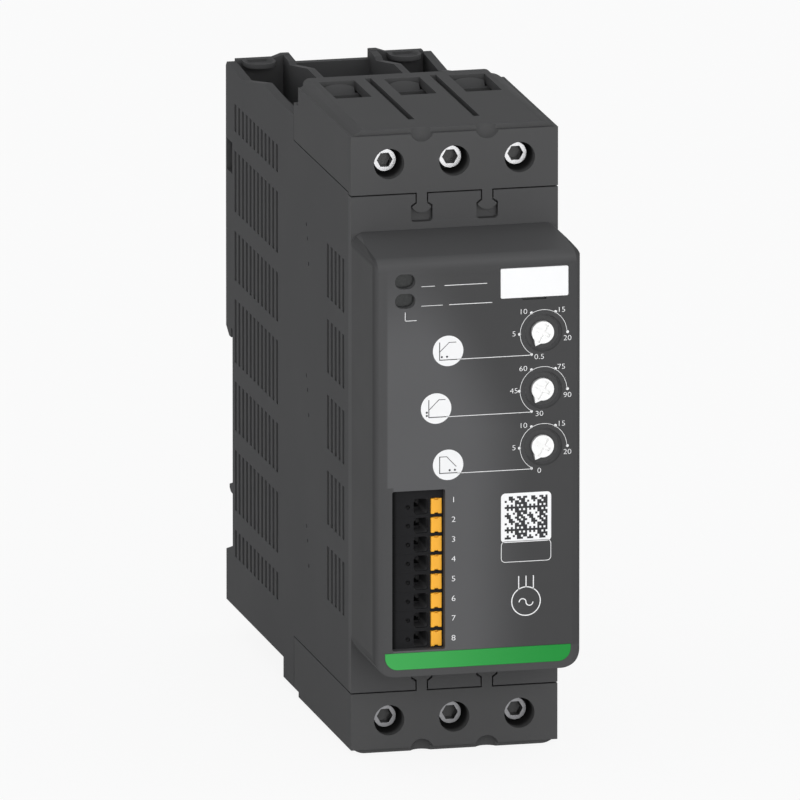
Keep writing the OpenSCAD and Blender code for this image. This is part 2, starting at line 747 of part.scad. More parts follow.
module power_board() {
  color("#2b6a44") in_case()
    block([1.5 - in_x, power_y0, mod_z0 + 0.25], [in_x - 1.5, power_y1, mod_z1 - 0.25]);
}

// Power parts

module thyristor_module(x) {
  color("#2a2b2e") in_case() block([x - mod_w / 2, power_y1, mod_z0], [x + mod_w / 2, sink_y0, mod_z1]);
}

module bypass_relay(x) {
  color("#20406e") in_case()
    block([x - mod_w / 2, relay_y0, mid_z - relay_z], [x + mod_w / 2, power_y0, mid_z + relay_z]);
}

module current_sensor(x) {
  color("#33363a") in_case() translate([x, bar_y0 + bar_t / 2, 0]) along_z(wall, wall + sensor_h)
    difference() {
    circle(d = mod_w);
    circle(d = bar_w + 0.6);
  }
}

module heat_sink() {
  n = 9;
  span = 2 * (in_x - 2.6);
  color("#b4b7ba") in_case() along_z(sink_z0, sink_z1) {
    rect(0.15 - in_x, sink_y0, in_x - 0.15, sink_y0 + sink_t);
    for (i = [0:n - 1]) translate([span * (i / (n - 1) - 0.5), 0])
      rect(-0.65, sink_y0 + sink_t - e, 0.65, sink_fin_y1);
  }
}

// Rail clip

module rail_clip() {
  color("#3a3b3d") in_case() {
    block([0.3 - in_x, clip_y0, clip_z0], [in_x - 0.3, clip_y1, clip_z1]);
    block([-web_w / 2, clip_y1 - e, clip_edge - web_h], [web_w / 2, seat_y + 0.1 + e, clip_edge]);
    along_x(0.3 - half_w, half_w - 0.3)
      polygon([[seat_y + 0.1, clip_edge - 0.9], [seat_y + 3.1, clip_edge - 0.7],
      [seat_y + 4.2, clip_edge], [seat_y + 4.2, clip_edge + 0.8], [lip_y0, clip_edge + 1.7],
        [lip_y0, clip_edge],
      [seat_y + 0.1, clip_edge]]);
    block([-tail_w / 2, clip_y0, -4], [tail_w / 2, clip_y1 - 0.3, clip_z0 + e]);
  }
}

// Helical coil standing on its lower end
module coil(r, wire, turns, h) {
  steps = 16;
  sides = 6;
  n = turns * steps;
  pts = [for (i = [0:n]) for (k = [0:sides - 1])
    let (a = 360 * i / steps, b = 360 * k / sides, q = r + wire / 2 * cos(b))
    [q * cos(a), q * sin(a), wire / 2 + (h - wire) * i / n + wire / 2 * sin(b)]];
  skin = [for (i = [0:n - 1]) for (k = [0:sides - 1])
    let (m = (k + 1) % sides) [i * sides + k, i * sides + m, (i + 1) * sides + m, (i + 1) * sides + k]];
  ends = [[for (k = [0:sides - 1]) sides - 1 - k], [for (k = [0:sides - 1]) n * sides + k]];
  polyhedron(pts, concat(skin, ends));
}

module clip_springs() {
  color("#b9bcc0") in_case() for (s = [-1, 1])
    translate([s * spring_x, (clip_y0 + clip_y1) / 2, spring_z0])
    coil(0.95, 0.5, 5, clip_z0 - spring_z0);
}

housing();
front_cover();
accent_strip();
label_plate();
upper_terminal_cap();
lower_terminal_cap();
rail_clip();
clip_springs();
for (i = [1:3]) {
  color("#d8dadb") terminal_screw(true, pole_x[i - 1]);
  color("#8d8f92") terminal_screw(false, pole_x[i - 1]);
  color("#b9bcc0") terminal_cage(true, pole_x[i - 1]);
  color("#b9bcc0") terminal_cage(false, pole_x[i - 1]);
  conductor_bar(true, pole_x[i - 1]);
  conductor_bar(false, pole_x[i - 1]);
  dial(i);
  potentiometer(i);
  thyristor_module(pole_x[i - 1]);
  bypass_relay(pole_x[i - 1]);
  current_sensor(pole_x[i - 1]);
}
control_block();
contact_plates();
for (i = [1:8]) release_button(i);
lens(0);  // upper_lens
lens(1);  // lower_lens
status_leds();
control_board();
board_screws();
link_board();
power_board();
heat_sink();
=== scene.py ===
import math

import bpy
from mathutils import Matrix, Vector


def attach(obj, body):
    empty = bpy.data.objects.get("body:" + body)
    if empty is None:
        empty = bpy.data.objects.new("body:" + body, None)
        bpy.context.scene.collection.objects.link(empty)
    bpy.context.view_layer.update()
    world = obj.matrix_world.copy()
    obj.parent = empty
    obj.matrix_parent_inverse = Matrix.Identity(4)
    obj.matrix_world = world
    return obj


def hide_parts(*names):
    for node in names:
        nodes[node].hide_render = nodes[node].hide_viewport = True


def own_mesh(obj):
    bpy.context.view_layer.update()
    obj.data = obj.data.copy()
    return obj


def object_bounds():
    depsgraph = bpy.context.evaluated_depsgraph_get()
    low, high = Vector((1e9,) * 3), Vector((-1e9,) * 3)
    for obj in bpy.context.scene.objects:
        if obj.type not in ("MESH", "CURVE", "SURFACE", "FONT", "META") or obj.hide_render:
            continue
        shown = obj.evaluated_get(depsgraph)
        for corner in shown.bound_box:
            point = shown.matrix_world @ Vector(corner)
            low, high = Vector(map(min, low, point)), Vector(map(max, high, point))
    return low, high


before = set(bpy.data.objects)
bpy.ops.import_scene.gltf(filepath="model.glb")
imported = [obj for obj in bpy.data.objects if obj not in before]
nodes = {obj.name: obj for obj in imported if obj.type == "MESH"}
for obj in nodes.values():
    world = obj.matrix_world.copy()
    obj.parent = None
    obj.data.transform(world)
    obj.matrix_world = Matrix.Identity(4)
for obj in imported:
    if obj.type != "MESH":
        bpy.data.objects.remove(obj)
cad_low, cad_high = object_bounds()
MM = 0.001

# Studio
# The starter stands on a plain pale floor in soft even light, as in a catalogue.
# A long lens looks from the left and a little from above, so edges stay parallel.
WHITE, SKY_TINT, SKY_STRENGTH = (1, 1, 1, 1), (0.97, 0.98, 1, 1), 0.6
# Shares of plain white that gloss mirrors and that the camera sees over the floor's shadow
GLOSS_WHITE, FLOOR_WHITE = 0.55, 0.9
FLOOR_SIZE, FLOOR_GAP = 14, 0.2 * MM
FLOOR_DARK, FLOOR_PALE = (0.86, 0.86, 0.86, 1), (0.9, 0.9, 0.9, 1)
# Each lamp's name, place in metres, width in metres and power in watts
LAMPS = [
    ("front_softbox", (0.0, -2.1, 0.2), 1.8, 29.0),
    ("side_softbox", (-1.8, -0.6, 0.1), 1.4, 2.5),
    ("back_softbox", (-0.6, 1.4, 1.3), 1.2, 0.2),
]
LAMP_AIM = Vector((0, -0.06, 0.015))
LENS, SENSOR, VIEW_WIDTH, VIEW_REACH = 1500.0, 36.0, 0.1705, 50.0
TURN, RISE = math.radians(-13.4), math.radians(13.4)
CAMERA_AIM = Vector((0.00014, -0.06017, 0.01514))
# Places of the Mix node's sockets for colours
FACTOR, COLOUR_A, COLOUR_B, COLOUR_OUT = 0, 6, 7, 2


class Wire:
    """A shader socket that can be used in sums; node() adds any other node."""

    def __init__(self, tree, socket=None):
        self.tree, self.socket = tree, socket

    def node(self, kind, inputs=(), out=0, **settings):
        """Adds a node with its settings, then with the values or links of its sockets."""
        made = self.tree.nodes.new("ShaderNode" + kind)
        for key, value in settings.items():
            setattr(made, key, value)
        for key, value in dict(inputs).items():
            if isinstance(value, Wire):
                self.tree.links.new(value.socket, made.inputs[key])
            else:
                made.inputs[key].default_value = value
        return Wire(self.tree, made.outputs[out])

    def maths(self, operation, *others):
        return self.node("Math", dict(enumerate((self, *others))), operation=operation)

    def __add__(self, other):
        return self.maths("ADD", other)

    def __sub__(self, other):
        return self.maths("SUBTRACT", other)

    def __rsub__(self, other):
        return self.node("Math", {0: other, 1: self}, operation="SUBTRACT")

    def __mul__(self, other):
        return self.maths("MULTIPLY", other)

    def __lt__(self, other):
        return self.maths("LESS_THAN", other)

    def __gt__(self, other):
        return self.maths("GREATER_THAN", other)

    def __abs__(self):
        return self.maths("ABSOLUTE")

    __radd__, __rmul__ = __add__, __mul__

    def mix(self, low, high):
        """The colour low where this mask is 0 and high where it is 1."""
        inputs = {FACTOR: self, COLOUR_A: low, COLOUR_B: high}
        return self.node("Mix", inputs, out=COLOUR_OUT, data_type="RGBA")


def release():
    """Leaves nothing selected, so that the next operator acts on the new piece alone."""
    if bpy.context.object and bpy.context.object.mode != "OBJECT":
        bpy.ops.object.mode_set(mode="OBJECT")
    bpy.ops.object.select_all(action="DESELECT")


def material(name, **constants):
    """A new principled material with its constants set on the shader's own sockets."""
    made = bpy.data.materials.new(name)
    made.use_nodes = True
    shader = made.node_tree.nodes["Principled BSDF"]
    for key, value in constants.items():
        shader.inputs[key.replace("_", " ").title().replace("Ior", "IOR")].default_value = value
    return made, shader, Wire(made.node_tree)


def connect(wire, shader, key):
    wire.tree.links.new(wire.socket, shader.inputs[key])


def backdrop_white(lit, white):
    """Camera, glossy and glass rays see the white; all other rays see what lights the part."""
    kinds = ("Camera", "Glossy", "Transmission")
    direct, mirrored, through = (lit.node("LightPath", out=f"Is {kind} Ray") for kind in kinds)
    share = direct.maths("MAXIMUM", (mirrored * GLOSS_WHITE).maths("MAXIMUM", through))
    return lit.node("MixShader", {0: share, 1: lit, 2: white})


world = bpy.data.worlds.new("studio_light")
bpy.context.scene.world = world
world.use_nodes = True
sky = world.node_tree
base_light = sky.nodes["Background"]
base_light.inputs["Color"].default_value = SKY_TINT
base_light.inputs["Strength"].default_value = SKY_STRENGTH
white_light = Wire(sky).node("Background", {"Color": WHITE, "Strength": 1.0})
sky_light = backdrop_white(Wire(sky, base_light.outputs[0]), white_light)
connect(sky_light, sky.nodes["World Output"], "Surface")

release()
bpy.ops.mesh.primitive_plane_add(size=FLOOR_SIZE, location=(0, 0, cad_low.z - FLOOR_GAP))
floor = bpy.context.object
floor.name = "floor"
floor_paint, floor_shader, floor_wire = material("floor_paint", roughness=0.9)
speck = floor_wire.node("TexNoise", {"Scale": 40.0, "Detail": 2.0})
connect(speck.mix(FLOOR_DARK, FLOOR_PALE), floor_shader, "Base Color")
floor_lit = Wire(floor_wire.tree, floor_shader.outputs[0])
plain_white = floor_wire.node("Emission", {"Color": WHITE, "Strength": 1.0})
floor_white = floor_wire.node("MixShader", {0: FLOOR_WHITE, 1: floor_lit, 2: plain_white})
floor_seen = backdrop_white(floor_lit, floor_white)
connect(floor_seen, floor_wire.tree.nodes["Material Output"], "Surface")
floor.data.materials.append(floor_paint)

for lamp_name, place, width, watts in LAMPS:
    lamp = bpy.data.lights.new(lamp_name, "AREA")
    lamp.shape, lamp.size, lamp.energy = "DISK", width, watts
    lamp_object = bpy.data.objects.new(lamp_name, lamp)
    lamp_object.location = place
    lamp_object.rotation_euler = (LAMP_AIM - Vector(place)).to_track_quat("-Z", "Y").to_euler()
    bpy.context.collection.objects.link(lamp_object)

lens = bpy.data.cameras.new("long_lens")
lens.lens, lens.sensor_width, lens.clip_end = LENS, SENSOR, VIEW_REACH
camera = bpy.data.objects.new("long_lens", lens)
level = math.cos(RISE)
back = Vector((math.sin(TURN) * level, -math.cos(TURN) * level, math.sin(RISE)))
camera.location = CAMERA_AIM + back * (VIEW_WIDTH * LENS / SENSOR)
camera.rotation_euler = (-back).to_track_quat("-Z", "Y").to_euler()
bpy.context.collection.objects.link(camera)
bpy.context.scene.camera = camera
bpy.context.scene.view_settings.view_transform = "Standard"

# Housing
# One deep grey moulding with vent slits in both sides, open bays for the cooling air
# and the rail slot at the back. Spark-eroded texture, edges lightly rounded by the mould.
GREY = (0.0765, 0.0765, 0.0775)
CASE_RADIUS, MERGE, SHARP = 0.15 * MM, 1e-6, math.radians(40)
CLOUD_SHARE, ROUGH_SWING = 0.65, 0.14


def soften(node, radius):
    """Small mould radii on a solid's sharp edges."""
    weld = nodes[node].modifiers.new("joined", "WELD")
    weld.merge_threshold = MERGE
    edge = nodes[node].modifiers.new("mould_radius", "BEVEL")
    edge.width, edge.segments = radius, 2
    edge.limit_method, edge.angle_limit = "ANGLE", SHARP


def dress(paint, *names):
    for name in names:
        nodes[name].data.materials.clear()
        nodes[name].data.materials.append(paint)


def moulded(name, colour, rough=0.62, grain=0.1, grain_scale=3800.0, spread=0.06, gloss=0.03,
            tint=None):
    """Moulded plastic: fine eroded grain, faint flow clouds and rubbed, uneven gloss.
    tint may return another base colour from the wire and the object's coordinates."""
    made, shader, wire = material(name, specular_ior_level=gloss)
    place = wire.node("TexCoord", out="Object")
    clouds = wire.node("TexNoise", {"Vector": place, "Scale": 55.0, "Detail": 3.0, "Roughness": 0.55})
    fine = wire.node("TexNoise", {"Vector": place, "Scale": grain_scale, "Detail": 2.0, "Roughness": 0.6})
    base = tint(wire, place) if tint else (*colour, 1)

    def shade(share):
        """The base colour times one share."""
        inputs = {FACTOR: 1.0, COLOUR_A: base, COLOUR_B: (share, share, share, 1)}
        return wire.node("Mix", inputs, out=COLOUR_OUT, data_type="RGBA", blend_type="MULTIPLY")

    mottle = clouds * CLOUD_SHARE + fine * (1 - CLOUD_SHARE)
    connect(mottle.mix(shade(1 - spread), shade(1 + spread)), shader, "Base Color")
    connect(clouds * ROUGH_SWING + (rough - ROUGH_SWING / 2), shader, "Roughness")
    bump = wire.node("Bump", {"Strength": grain, "Distance": 0.00006, "Height": fine})
    connect(bump, shader, "Normal")
    return made


case_grey = moulded("case_grey", GREY)
dress(case_grey, "housing")
soften("housing", CASE_RADIUS)

# Terminal caps
# Two snap-on covers over the power terminals in the same grey plastic, each held by two
# key-shaped tabs in the front. Hex screws sit deep in their guide holes.
POLE_PITCH, MID_HEIGHT, SCREW_REACH, HOLE_RADIUS = 14.2, 54.2, 60.5, 3.4
# The dark grey down the screw holes is painted shade, where little light reaches.
CAP_GREY, HOLE_SHADE = (0.0815, 0.0815, 0.082), (0.02, 0.02, 0.02)
# Depth of the rail seat behind the terminal face and height of the rail's middle over the seam
SEAT_Y, RAIL_Z = 110.5, 35.9
# Depths in mm where the painted shade down the screw holes is full and where it has ended
HOLE_SHADE_DEPTHS = (3.4, 1.0)


def axes(wire, place):
    """The three coordinates in mm from the case's middle, terminal face and lower seam."""
    x, y, z = (wire.node("SeparateXYZ", {0: place}, out=axis) * (1 / MM) for axis in "XYZ")
    return x, y + SEAT_Y, z + RAIL_Z


def fade(value, full, none):
    """A smooth step that is 1 at the value full and 0 at the value none."""
    low, high, at_low = (full, none, 1.0) if full < none else (none, full, 0.0)
    span = {"From Min": low, "From Max": high, "To Min": at_low, "To Max": 1.0 - at_low}
    return value.node("MapRange", {"Value": value, **span}, interpolation_type="SMOOTHSTEP")


def screw_distance(wire, place):
    """How far in mm a point lies from the nearest clamp screw's axis."""
    x, _, height = axes(wire, place)
    across = x.maths("WRAP", POLE_PITCH / 2, -POLE_PITCH / 2)
    up = abs(height - MID_HEIGHT) - SCREW_REACH
    return (across * across + up * up).maths("SQRT")


def cap_hole_shade(wire, place):
    """Cap grey, with painted shade down the screw holes."""
    depth = axes(wire, place)[1]
    inside = (screw_distance(wire, place) < HOLE_RADIUS) * fade(depth, *HOLE_SHADE_DEPTHS)
    return inside.mix((*CAP_GREY, 1), (*HOLE_SHADE, 1))


cap_grey = moulded("cap_grey", CAP_GREY, tint=cap_hole_shade)
for cap in ("upper_terminal_cap", "lower_terminal_cap"):
    dress(cap_grey, cap)
    soften(cap, CASE_RADIUS)

# Clamp screws, cages and bars
# Zinc-plated steel screws, painted darker on the lower side as shade, draw folded cages along
# bars of tinned copper. Fine marks run along the turned screws, fine lines along the drawn strip.
# The black inside the hex sockets is painted shade.
HEAD_DEPTH, WELL_STEP, WELL_RADIUS, SOCKET_SHADE = 4.1, 0.25, 1.74, (0.06, 0.06, 0.06)
MARK_SHARE, METAL_SWING = 0.6, 0.22
SCREW_RADIUS, CAGE_RADIUS = 0.2 * MM, 0.3 * MM


def numbered(stem, count=3):
    return [f"{stem}_{i}" for i in range(1, count + 1)]


def socket_shade_mask(wire, place):
    """1 inside the hex sockets of the six clamp screws, where shade is painted, 0 elsewhere."""
    depth = axes(wire, place)[1]
    return (screw_distance(wire, place) < WELL_RADIUS) * (depth > HEAD_DEPTH + WELL_STEP)


def metal(name, colour, rough, scale, stretch, shine=0.05, shade_sockets=False):
    """Plated or drawn metal with fine marks stretched along one direction."""
    made, shader, wire = material(name, metallic=1.0)
    place = wire.node("TexCoord", out="Object")
    along = wire.node("Mapping", {"Vector": place, "Scale": stretch})
    marks = wire.node("TexNoise", {"Vector": along, "Scale": scale, "Detail": 4.0, "Roughness": 0.65})
    cloud = wire.node("TexNoise", {"Vector": place, "Scale": 240.0, "Detail": 2.0})
    mottle = marks * MARK_SHARE + cloud * (1 - MARK_SHARE)
    low = tuple(c * (1 - 2 * shine) for c in colour)
    base = mottle.mix((*low, 1), (*colour, 1))
    # Painted shade inside the deep hex sockets.
    if shade_sockets:
        base = socket_shade_mask(wire, place).mix(base, (*SOCKET_SHADE, 1))
    connect(base, shader, "Base Color")
    connect(mottle * METAL_SWING + (rough - METAL_SWING / 2), shader, "Roughness")
    bump = wire.node("Bump", {"Strength": 0.08, "Distance": 0.00004, "Height": marks})
    connect(bump, shader, "Normal")
    return made


bright_zinc = metal("bright_zinc", (0.78, 0.78, 0.79), 0.28, 2400.0, (1, 0.15, 1), shade_sockets=True)
# The lower screws are the same zinc, painted darker as shade.
shaded_zinc = metal("shaded_zinc", (0.31, 0.31, 0.32), 0.36, 2400.0, (1, 0.15, 1), 0.12, shade_sockets=True)
tinned = metal("tinned_copper", (0.72, 0.58, 0.46), 0.32, 1800.0, (1, 1, 0.1))
cages = numbered("line_cage") + numbered("load_cage")
dress(bright_zinc, *numbered("line_screw"), *cages)
dress(shaded_zinc, *numbered("load_screw"))
dress(tinned, *numbered("line_bar"), *numbered("load_bar"))
for screw in numbered("line_screw") + numbered("load_screw"):
    soften(screw, SCREW_RADIUS)
for cage in cages:
    soften(cage, CAGE_RADIUS)

# Front cover
# The grey cover stands out in front and is faced with a printed film. A painted sheen on the film
# is palest at the left and fades to the plain grey towards the right and the upper edge.
FACE_DEPTH, COVER_RADIUS = -21.3, 0.12 * MM
# The sheen colour is painted light on the film, over its plain film grey.
SHEEN, FILM = (0.107, 0.107, 0.1095), (0.0646, 0.0646, 0.0652)
# The paler brow on the cover's top is painted light; the darker cover sides are painted shade.
BROW_LIGHT, RIM, WALL_LIGHT = (0.092, 0.092, 0.093), (0.08, 0.08, 0.081), (0.125, 0.125, 0.127)
MARGIN, SIDE_SHADE = (0.0765, 0.0765, 0.0775), (0.0605, 0.0605, 0.0612)
DIAL_X, DIAL_PITCH, DIAL_HEIGHTS = 14.2, 12.35, (81.4, 69.05, 56.7)
DIAL_FLOOR, DIAL_REACH, DIAL_BAND = 3.55, 4.4, (50.0, 86.0)
LENS_X, LENS_REACH, LENS_BAND = -15.8, 2.7, (87.0, 96.0)
# The painted sheen's middle line leans to the left with height and stops short of the dials
LEAN_HEIGHT, LEAN, LEAN_X, LEAN_STOP = 88.0, 0.46, 6.0, 6.5
UPPER_SHEEN, SIDE_X = 0.3, 21.5
# Places in mm where a shade is full and where it has ended
SHEEN_SPAN, SHEEN_HEIGHTS, BROW_HEIGHTS = (-10.0, 6.0), (78.0, 99.0), (99.5, 101.4)
FILM_LEFT, FILM_TOP, FILM_FOOT = (-19.4, -19.9), (97.3, 97.8), (13.6, 13.2)
FRONT_DEPTHS, RIM_DEPTHS = (FACE_DEPTH, FACE_DEPTH + 1.2), (-0.8, -0.4)
# The film's left margin is wider below this height, beside the control terminals
WIDE_HEIGHT, WIDE_MARGIN = 49.5, 1.3


def within(value, low, high):
    return (value > low) * (value < high)


def wall_light_mask(x, height):
    """1 round the floors of the dial and lens recesses, where front light is painted on the walls."""
    up = (height - DIAL_HEIGHTS[2]).maths("WRAP", DIAL_PITCH / 2, -DIAL_PITCH / 2)
    across = x - DIAL_X
    off_floor = across * across + up * up > DIAL_FLOOR ** 2
    dials = off_floor * (abs(across) < DIAL_REACH) * within(height, *DIAL_BAND)
    lenses = (abs(x - LENS_X) < LENS_REACH) * within(height, *LENS_BAND)
    return dials.maths("MAXIMUM", lenses)


def cover_painted_light(wire, place):
    """Cover grey, with a painted sheen on the film inside its plain margin on the front, painted light on
    the cover's top and recess walls and painted shade on its sides.
    """
    x, depth, height = axes(wire, place)
    middle = (LEAN_HEIGHT - height) * LEAN - LEAN_X
    right = x - middle.maths("MINIMUM", LEAN_STOP)
    lower = fade(height, *SHEEN_HEIGHTS) * (1 - UPPER_SHEEN) + UPPER_SHEEN
    film = (fade(right, *SHEEN_SPAN) * lower).mix((*FILM, 1), (*SHEEN, 1))
    inset = x - (height < WIDE_HEIGHT) * WIDE_MARGIN
    faced = fade(inset, *FILM_LEFT) * fade(height, *FILM_TOP) * fade(height, *FILM_FOOT)
    top = fade(height, *BROW_HEIGHTS).mix((*GREY, 1), (*BROW_LIGHT, 1))
    side = (abs(x) > SIDE_X).mix(top, (*SIDE_SHADE, 1))
    body = wall_light_mask(x, height).mix(side, (*WALL_LIGHT, 1))
    front = fade(depth, *FRONT_DEPTHS).mix(body, faced.mix((*MARGIN, 1), film))
    return fade(depth, *RIM_DEPTHS).mix((*RIM, 1), front)


cover_grey = moulded("cover_grey", GREY, rough=0.5, grain=0.07, tint=cover_painted_light)
dress(cover_grey, "front_cover")
soften("front_cover", COVER_RADIUS)

# Accent strip and label plate
# A green inlay of satin plastic closes the cover's lower edge, with a painted sheen that is paler at the
# left, as on the film.
# A blank white plate clips into its seat above the dials.
GREEN_LEFT, GREEN_RIGHT = (0.047, 0.374, 0.081), (0.0094, 0.26, 0.037)
GREEN_SPAN = (-24.0, 22.0)


def green_painted_sheen(wire, place):
    """Green with a painted sheen that is paler at the left, as on the film above it."""
    x = axes(wire, place)[0]
    return fade(x, *GREEN_SPAN).mix((*GREEN_RIGHT, 1), (*GREEN_LEFT, 1))


green = moulded("accent_green", GREEN_LEFT, rough=0.42, grain=0.04, spread=0.05, gloss=0.2,
                tint=green_painted_sheen)
label_white = moulded("label_white", (0.92, 0.92, 0.92), rough=0.5, grain=0.03, spread=0.02, gloss=0.2)
dress(green, "accent_strip")
dress(label_white, "label_plate")
soften("accent_strip", COVER_RADIUS)
soften("label_plate", COVER_RADIUS)

# Control terminals
# A black moulded block with eight spring clamps, set in the cover's opening.
# An orange button in front of each clamp opens it.
SKIN_DEPTH, OPENING_LEFT = -19.3, -18.6
# The blacker left edge is painted shadow; the greyer inside of the wire entries is painted light.
BLOCK_FACE, EDGE_SHADOW = (0.0175, 0.0175, 0.0185), (0.004, 0.004, 0.004)
ENTRY_LIGHT = (0.075, 0.075, 0.077)
EDGE_SPAN = (OPENING_LEFT + 0.6, OPENING_LEFT + 1.6)
ENTRY_DEPTHS = (SKIN_DEPTH + 1.0, SKIN_DEPTH + 0.3)
BLOCK_RADIUS, BUTTON_RADIUS = 0.1 * MM, 0.22 * MM
buttons = numbered("release_button", 8)


def block_painted_shade(wire, place):
    """Black face, with painted shadow along the opening's left edge and painted light inside the wire
    entries.
    """
    x, depth, _ = axes(wire, place)
    face = fade(x, *EDGE_SPAN).mix((*BLOCK_FACE, 1), (*EDGE_SHADOW, 1))
    return fade(depth, *ENTRY_DEPTHS).mix(face, (*ENTRY_LIGHT, 1))


block_black = moulded("block_black", BLOCK_FACE, rough=0.5, tint=block_painted_shade)
button_orange = moulded("button_orange", (0.98, 0.465, 0.036), rough=0.38, grain=0.03, gloss=0.3)
dark_steel = metal("dark_steel", (0.02, 0.02, 0.021), 0.5, 2000.0, (1, 0.2, 1))
dress(block_black, "control_block")
dress(button_orange, *buttons)
dress(dark_steel, "contact_plates")
soften("control_block", BLOCK_RADIUS)
for button in buttons:
    soften(button, BUTTON_RADIUS)

# Dials and lenses
# White moulded knobs turn in dark recesses of the cover.
# Smoked lenses with a fine facet pattern sit just below the face, over unlit lamps.
LENS_DARK, LENS_PALE = (0.02, 0.021, 0.021, 1), (0.034, 0.036, 0.035, 1)
LENS_ROUGH, FACET_SWING = 0.16, 0.1
KNOB_RADIUS, LENS_RADIUS = 0.2 * MM, 0.25 * MM
knob_white = moulded("knob_white", (0.95, 0.95, 0.94), rough=0.4, grain=0.03, spread=0.03, gloss=0.3)
lens_smoke, lens_shader, lens_wire = material("lens_smoke", specular_ior_level=0.3, coat_weight=0.2,
                                              coat_roughness=0.08)
lens_place = lens_wire.node("TexCoord", out="Object")
facets = lens_wire.node("TexVoronoi", {"Vector": lens_place, "Scale": 2600.0})
facet_bump = lens_wire.node("Bump", {"Strength": 0.15, "Distance": 0.00005, "Height": facets})
connect(facets.mix(LENS_DARK, LENS_PALE), lens_shader, "Base Color")
connect(facets * FACET_SWING + LENS_ROUGH, lens_shader, "Roughness")
connect(facet_bump, lens_shader, "Normal")
dress(knob_white, *numbered("dial"))
dress(lens_smoke, "upper_lens", "lower_lens", "status_leds")
for dial in numbered("dial"):
    soften(dial, KNOB_RADIUS)
for signal in ("upper_lens", "lower_lens"):
    soften(signal, LENS_RADIUS)

# Rail clip and its springs
# A slider of the case plastic; its nose hooks under the rail's lower edge. Two short coils of
# hard-drawn wire stand on the case floor below it.
CLIP_DROP, CLIP_RADIUS = 4.0 * MM, 0.2 * MM
spring_steel = metal("spring_steel", (0.62, 0.62, 0.63), 0.3, 2000.0, (1, 0.2, 1))
dress(case_grey, "rail_clip")
dress(spring_steel, "clip_springs")
soften("rail_clip", CLIP_RADIUS)
springs = bpy.data.objects.new("clip_coils", nodes["clip_springs"].data.copy())
bpy.context.collection.objects.link(springs)
release()
springs.select_set(True)
bpy.context.view_layer.objects.active = springs
bpy.ops.object.mode_set(mode="EDIT")
bpy.ops.mesh.select_all(action="SELECT")
bpy.ops.mesh.remove_doubles(threshold=MERGE)
bpy.ops.object.mode_set(mode="OBJECT")
bpy.ops.object.shade_smooth_by_angle(angle=SHARP)
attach(springs, "case")
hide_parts("clip_springs")
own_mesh(springs)

# Boards and power parts inside
# Glass-fibre boards under green lacquer, held by steel screws, with moulded power blocks,
# blue relays and potentiometers, and a black anodised sink.
lacquer = moulded("board_lacquer", (0.02, 0.11, 0.045), rough=0.35, grain=0.05, grain_scale=1500.0,
                  spread=0.12)
power_black = moulded("power_black", (0.02, 0.02, 0.021), rough=0.5)
relay_blue = moulded("relay_blue", (0.02, 0.06, 0.16), rough=0.42)
anodised = metal("anodised_black", (0.07, 0.07, 0.072), 0.45, 1500.0, (1, 1, 0.08), 0.1)
dress(lacquer, "control_board", "link_board", "power_board")
dress(spring_steel, "board_screws")
dress(power_black, *numbered("thyristor_module"), *numbered("current_sensor"))
dress(relay_blue, *numbered("bypass_relay"), *numbered("potentiometer"))
dress(anodised, "heat_sink")

# Printed scales
# White ink on the film: an arc with five dots round each dial and plain numbers beside it,
# with a fine line that leads from the scale's start to the dial's picture.
INK_THICK, NUMBER_THIN = 0.02 * MM, -0.02 * MM
ARC_RADIUS, ARC_WIDTH, ARC_POINTS, ARC_SLACK, LINE_WIDTH = 5.07, 0.1, 144, 0.01, 0.13
DOT_RING, DOT_RADIUS, DOT_POINTS, DOT_ANGLES = 5.22, 0.31, 16, (-150, -90, -30, 30, 90)
DIAL_NUMBERS = (
    ("0.5", "5", "10", "15", "20"),
    ("30", "45", "60", "75", "90"),
    ("0", "5", "10", "15", "20"),
)
NUMBER_SPOTS = ((-0.9, -5.1), (-6.4, 0.1), (-4.4, 4.82), (3.88, 4.85), (5.2, -1.35))
NUMBER_SIZE, NUMBER_STRETCH = 1.6, 1.16
PICTURE_X, LEAD_DROP, LEAD_START, LEAD_END = (-6.5, -9.1, -6.5), 4.65, 2.0, 2.6
UPRIGHT = (math.pi / 2, 0, 0)
ink_white = moulded("ink_white", (0.88, 0.88, 0.88), rough=0.6, grain=0.02, spread=0.03)


def spot(x, height):
    """A point of the cover's face, in mm from the case's middle and lower seam."""
    return Vector((x, FACE_DEPTH - SEAT_Y, height - RAIL_Z)) * MM


def applied(piece, name):
    """Puts a piece's place into its mesh and gives it its name."""
    release()
    piece.select_set(True)
    bpy.context.view_layer.objects.active = piece
    bpy.ops.object.transform_apply(location=True, rotation=True, scale=True)
    piece.name = piece.data.name = name
    return piece


def thickened(piece, thick):
    """A flat outline made solid towards the front."""
    piece = applied(piece, "print")
    solid = piece.modifiers.new("ink", "SOLIDIFY")
    solid.thickness, solid.offset = thick, 1.0
    bpy.ops.object.modifier_apply(modifier="ink")
    return piece


def print_disc(x, height, radius, points, thick=INK_THICK):
    """A flat round print on the face."""
    release()
    bpy.ops.mesh.primitive_circle_add(vertices=points, radius=radius * MM, fill_type="NGON",
                                      location=spot(x, height), rotation=UPRIGHT)
    return thickened(bpy.context.object, thick)


def print_bar(x0, height0, x1, height1, width=LINE_WIDTH, thick=INK_THICK):
    """A straight printed line between two points of the face."""
    start, end = spot(x0, height0), spot(x1, height1)
    run = end - start
    release()
    bpy.ops.mesh.primitive_plane_add(size=1, location=(start + end) / 2,
                                     rotation=(math.pi / 2, -math.atan2(run.z, run.x), 0))
    bar = bpy.context.object
    bar.scale = (run.length + width * MM, width * MM, 1)
    return thickened(bar, thick)


